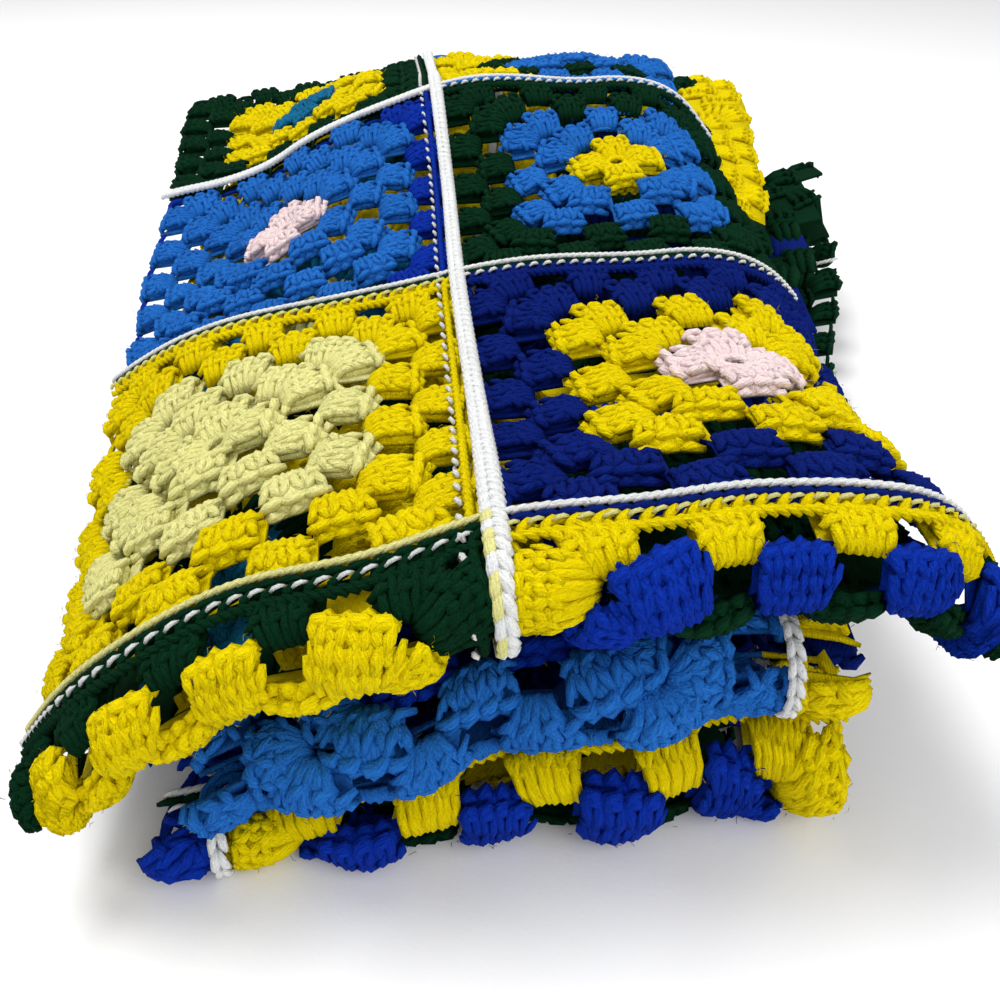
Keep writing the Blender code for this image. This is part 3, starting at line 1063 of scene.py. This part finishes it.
def mesh_piece(name, points, corners, starts, places, material):
    mesh = bpy.data.meshes.new(name)
    mesh.vertices.add(len(points))
    mesh.vertices.foreach_set("co", points.astype(np.float32).ravel())
    mesh.loops.add(len(corners))
    mesh.loops.foreach_set("vertex_index", corners.astype(np.int32))
    mesh.polygons.add(len(starts))
    mesh.polygons.foreach_set("loop_start", starts.astype(np.int32))
    mesh.uv_layers.new(name="yarn").data.foreach_set("uv", places.astype(np.float32).ravel())
    mesh.update(calc_edges=True)
    mesh.validate()
    mesh.shade_smooth()
    mesh.materials.append(material)
    piece = bpy.data.objects.new(name, mesh)
    bpy.context.scene.collection.objects.link(piece)
    return piece


pieces = {}
total = 0
for name, copies in laid.items():
    points, corners, starts, places = copied(copies)
    pieces[name] = mesh_piece("stitches_" + name, fold(points), corners, starts, places, yarns[name])
    triangles = sum(copy[0]["triangles"] for copy in copies)
    total += triangles
    print("stitches_" + name, len(copies), "stitches,", triangles, "triangles")
print("all stitches", total, "triangles")

# %% [markdown]
# ## The ground of the cloth
# Under the puffs each round is one connected web. A thin sheet with its spaces left open gives
# that ground, and its area is measured while it lies flat. Each cell of the pattern is one plate
# or one space, and narrow strips run between the cells. Where the crochet is fine, a plate is
# narrowed towards the next round and loses its strip there, so that no flat cloth shows beside
# the puffs.

# %% Lay the web out flat
WEB = 0.0012
WEB_DEPTH = -0.0014
OPENING = 0.46 * CELL  # half of the open space in a cell
ON_CELL = 0.2  # in cells: how near to a cell's middle a face's middle lies if it fills the cell
NARROWING = 0.22 * CELL
TAPER = 0.3
LACED = 0.5 * SQUARE  # past this the spaces are open however plain the stitches are
FILLED_ACROSS = 0.72 * SQUARE  # past this, at the first bend, fewer spaces are cut
FILLED_ALONG = (2.9 * SQUARE, 3.5 * SQUARE)


def web_lines(cells):
    lines = []
    for cell in range(cells):
        middle = (cell + 0.5) * CELL
        lines += [middle - OPENING, middle + OPENING]
    lines[0] = 0.0
    lines[-1] = cells * CELL
    return lines


def web_grid():
    half = web_lines(2 * ROUNDS + 1)
    widths = [-width for width in reversed(half)] + half[1:]
    lengths = web_lines((2 * ROUNDS + 1) * ROWS)
    bm = bmesh.new()
    columns, rows = len(widths) - 1, len(lengths) - 1
    bmesh.ops.create_grid(bm, x_segments=columns, y_segments=rows, size=0.5)
    for vert in bm.verts:
        column = round((vert.co.x + 0.5) * columns)
        row = round((0.5 - vert.co.y) * rows)
        vert.co = (widths[column], -lengths[row], WEB_DEPTH)
    return bm


# %% Choose what to cut
def is_open(across, along, is_fine):
    laced = is_fine or abs(across) > LACED and not back_shows(along)
    return laced and not (across > FILLED_ACROSS and is_within(along, FILLED_ALONG))


def leads_outward(place, cell, off):
    """Whether a strip runs from a cluster towards the next round."""
    axis = 0 if off[0] > off[1] else 1
    sides = (math.floor(place[axis]), math.floor(place[axis]) + 1)
    inner, other = min(sides, key=abs), cell[1 - axis]
    in_square = max(abs(side) for side in sides) <= ROUNDS
    return in_square and (inner + other) % 2 == 1 and abs(inner) > abs(other)


def sorted_faces(bm):
    """Gives each face its yarn, and lists the faces to cut out and the plates to narrow."""
    unwanted, plates = [], []
    names = list(yarns)
    for face in bm.faces:
        middle = face.calc_center_median()
        across, along = middle.x, -middle.y
        row = min(int(along / SQUARE), ROWS - 1)
        place = (abs(across) % SQUARE - SQUARE / 2) / CELL, (along - (row + 0.5) * SQUARE) / CELL
        cell = [round(share) for share in place]
        off = [abs(share - whole) for share, whole in zip(place, cell)]
        is_fine = detail_at(across, along) in ("fine", "long", "fan")
        if max(off) < ON_CELL and sum(cell) % 2:
            if is_fine:
                plates.append((face, middle, cell))
        elif max(off) < ON_CELL and is_open(across, along, is_fine):
            unwanted.append(face)
        elif min(off) < ON_CELL and is_fine and leads_outward(place, cell, off):
            unwanted.append(face)
        cell_across = math.copysign(abs(across) + (cell[0] - place[0]) * CELL, across)
        if not is_kept(stretched(cell_across, along), along):
            unwanted.append(face)
        number = min(max(abs(cell[0]), abs(cell[1]), 1), ROUNDS)
        yarn = yarn_at(row, int(across > 0), number, across, along)
        face.material_index = names.index(yarn)
    return list(set(unwanted)), plates


def narrow(face, middle, cell):
    """Draws in the side of a plate that faces the next round."""
    axis = 0 if abs(cell[0]) > abs(cell[1]) else 1
    towards_edge = math.copysign(1, middle.x) if axis == 0 else -1
    outward = math.copysign(1, cell[axis]) * towards_edge
    for vert in face.verts:
        if (vert.co[axis] - middle[axis]) * outward > 0:
            vert.co[axis] -= outward * NARROWING
            vert.co[1 - axis] += (middle[1 - axis] - vert.co[1 - axis]) * TAPER


# %% Cut the web and fold it
def map_and_fold(bm):
    uv_layer = bm.loops.layers.uv.new("yarn")
    for face in bm.faces:
        for loop in face.loops:
            loop[uv_layer].uv = (loop.vert.co.x / 0.004, loop.vert.co.y / MAP_LENGTH)
    flat = np.array([vert.co for vert in bm.verts])
    flat[:, 0] = stretched(flat[:, 0], -flat[:, 1])
    for vert, place in zip(bm.verts, fold(flat)):
        vert.co = place


def folded_web():
    """The web as an object, and its area while it is flat."""
    bm = web_grid()
    unwanted, plates = sorted_faces(bm)
    for plate in plates:
        narrow(*plate)
    bmesh.ops.delete(bm, geom=unwanted, context="FACES")
    flat_area = sum(face.calc_area() for face in bm.faces)
    map_and_fold(bm)
    mesh = bpy.data.meshes.new("ground_web")
    bm.to_mesh(mesh)
    bm.free()
    for yarn in yarns.values():
        mesh.materials.append(yarn)
    mesh.shade_smooth()
    web = bpy.data.objects.new("ground_web", mesh)
    solid = web.modifiers.new("web thickness", "SOLIDIFY")
    solid.thickness = WEB
    solid.offset = 0.0
    bpy.context.scene.collection.objects.link(web)
    return web, flat_area


web, cut_area = folded_web()
print("ground web", len(web.data.polygons), "faces,", round(cut_area, 3), "square metres")

# %% [markdown]
# ## The cloth on the root
# The stitches go on the root with the web. All of them stand for the plain solid, which is hidden.

# %% Ride and replace
for name, piece in pieces.items():
    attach(piece, "root")
    name + "_yarn"
    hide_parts("blanket")
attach(web, "root")
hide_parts("blanket")

# %% [markdown]
# ## Floor, light and camera
# The blanket lies on a pale surface in soft, bright light from above. The camera stands low and
# close in front of it, so the far end narrows strongly.

# %% Floor
def floor_material():
    finish = Finish("pale floor")
    spot = finish.node("ShaderNodeTexCoord", {}, {}, output=3)
    grain = finish.node("ShaderNodeTexNoise", {}, {"Vector": spot, "Scale": 700.0, "Detail": 2.0})
    bump = finish.node("ShaderNodeBump", {}, {"Height": grain, "Strength": 0.15, "Distance": 0.0004})
    sockets = {"Base Color": (0.92, 0.92, 0.93, 1.0), "Roughness": 0.9, "Normal": bump}
    finish.fill(finish.shader, sockets)
    return finish.material


bm = bmesh.new()
bmesh.ops.create_grid(bm, x_segments=1, y_segments=1, size=4.0)
floor_mesh = bpy.data.meshes.new("floor")
bm.to_mesh(floor_mesh)
bm.free()
floor_mesh.materials.append(floor_material())
floor = bpy.data.objects.new("floor", floor_mesh)
floor.location.z = -0.0002  # just under the yarn that rests on it
bpy.context.scene.collection.objects.link(floor)

# %% Light
def add_area_light(name, place, size, power):
    light = bpy.data.lights.new(name, "AREA")
    light.size = size
    light.energy = power
    lamp = bpy.data.objects.new(name, light)
    lamp.location = place
    lamp.rotation_euler = (-Vector(place)).to_track_quat("-Z", "Y").to_euler()
    bpy.context.scene.collection.objects.link(lamp)


add_area_light("key light", (-0.5, 0.3, 1.6), 0.8, 22.0)
add_area_light("fill light", (0.9, -1.2, 1.0), 1.4, 14.0)
world = bpy.data.worlds.new("studio")
world.use_nodes = True
sky = world.node_tree.nodes["Background"]
sky.inputs["Color"].default_value = (1.0, 1.0, 1.0, 1.0)
sky.inputs["Strength"].default_value = 0.58
bpy.context.scene.world = world
bpy.context.scene.view_settings.view_transform = "Standard"

# %% Camera
CAMERA_PLACE = Vector((-0.0135, 0.0, 0.1914))  # from the top layer's middle line, before centring
CAMERA_TURN = math.radians(5.5)
CAMERA_DIP = math.radians(35.0)
LENS = 33.48
camera = bpy.data.cameras.new("camera")
camera.lens = LENS
camera.sensor_width = 36.0
camera.clip_start = 0.01
eye = bpy.data.objects.new("camera", camera)
eye.location = CAMERA_PLACE - Vector(centre)
eye.rotation_euler = (math.pi / 2 - CAMERA_DIP, 0.0, -CAMERA_TURN)
bpy.context.scene.collection.objects.link(eye)
bpy.context.scene.camera = eye
print("camera at", [round(value, 3) for value in eye.location])
